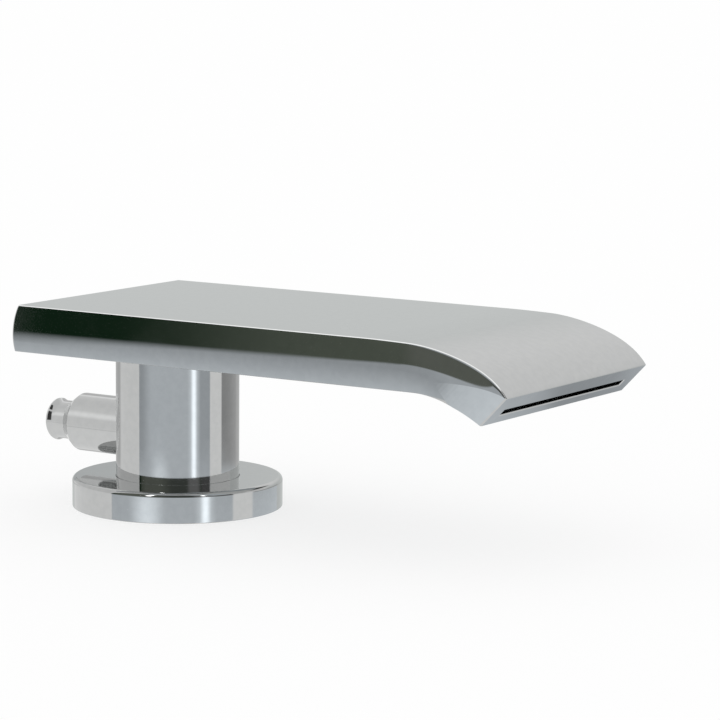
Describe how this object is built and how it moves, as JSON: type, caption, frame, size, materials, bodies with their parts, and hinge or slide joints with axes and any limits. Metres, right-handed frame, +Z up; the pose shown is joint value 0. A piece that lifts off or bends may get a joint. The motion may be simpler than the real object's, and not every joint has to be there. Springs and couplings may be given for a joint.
{
  "type": "bath spout",
  "caption": "Deck-mounted bath spout: flat blade curving down to a slot outlet, on a round column with a flange, and a pull knob behind that diverts the water.",
  "frame": {"origin": "centre of the flange's underside, on the top of the deck", "axes": "+Z up along the column, +X towards the outlet, +Y across the blade"},
  "size_m": [0.2025, 0.0942, 0.1823],
  "materials": {
    "chrome": "polished",
    "brass": "machined",
    "copper": "drawn tube",
    "steel": "stainless",
    "rubber": "matt",
    "plastic": "moulded"
  },
  "bodies": {
    "spout": {"base_flange": "chrome", "flange_gasket": "rubber", "column_tube": "chrome", "spout_shell": "chrome", "spout_underside": "chrome", "flow_diffuser": "plastic", "spout_boss": "brass", "boss_oring": "rubber", "spout_grub_screw": "steel", "valve_body": "brass", "spout_seat": "brass", "diverter_bonnet": "chrome", "bonnet_oring": "rubber", "gland_orings": "rubber", "gland_bush": "brass", "return_spring": "steel", "threaded_shank": "brass", "rubber_washer": "rubber", "steel_washer": "steel", "back_nut": "brass", "inlet_tail": "copper", "hose_tail": "copper", "tail_orings": "rubber", "tail_unions": "brass"},
    "diverter": {"diverter_knob": "chrome", "diverter_spindle": "steel", "rear_washer": "rubber", "diverter_disc": "brass", "front_washer": "rubber", "disc_nut": "brass"}
  },
  "joints": [
    {"name": "diverter_pull", "type": "slide", "parent": "spout", "child": "diverter", "axis": [-1, 0, 0], "range_m": [0, 0.008], "stiffness_N_per_m": 300, "springref_m": -0.005, "deforming": ["return_spring"]}
  ]
}
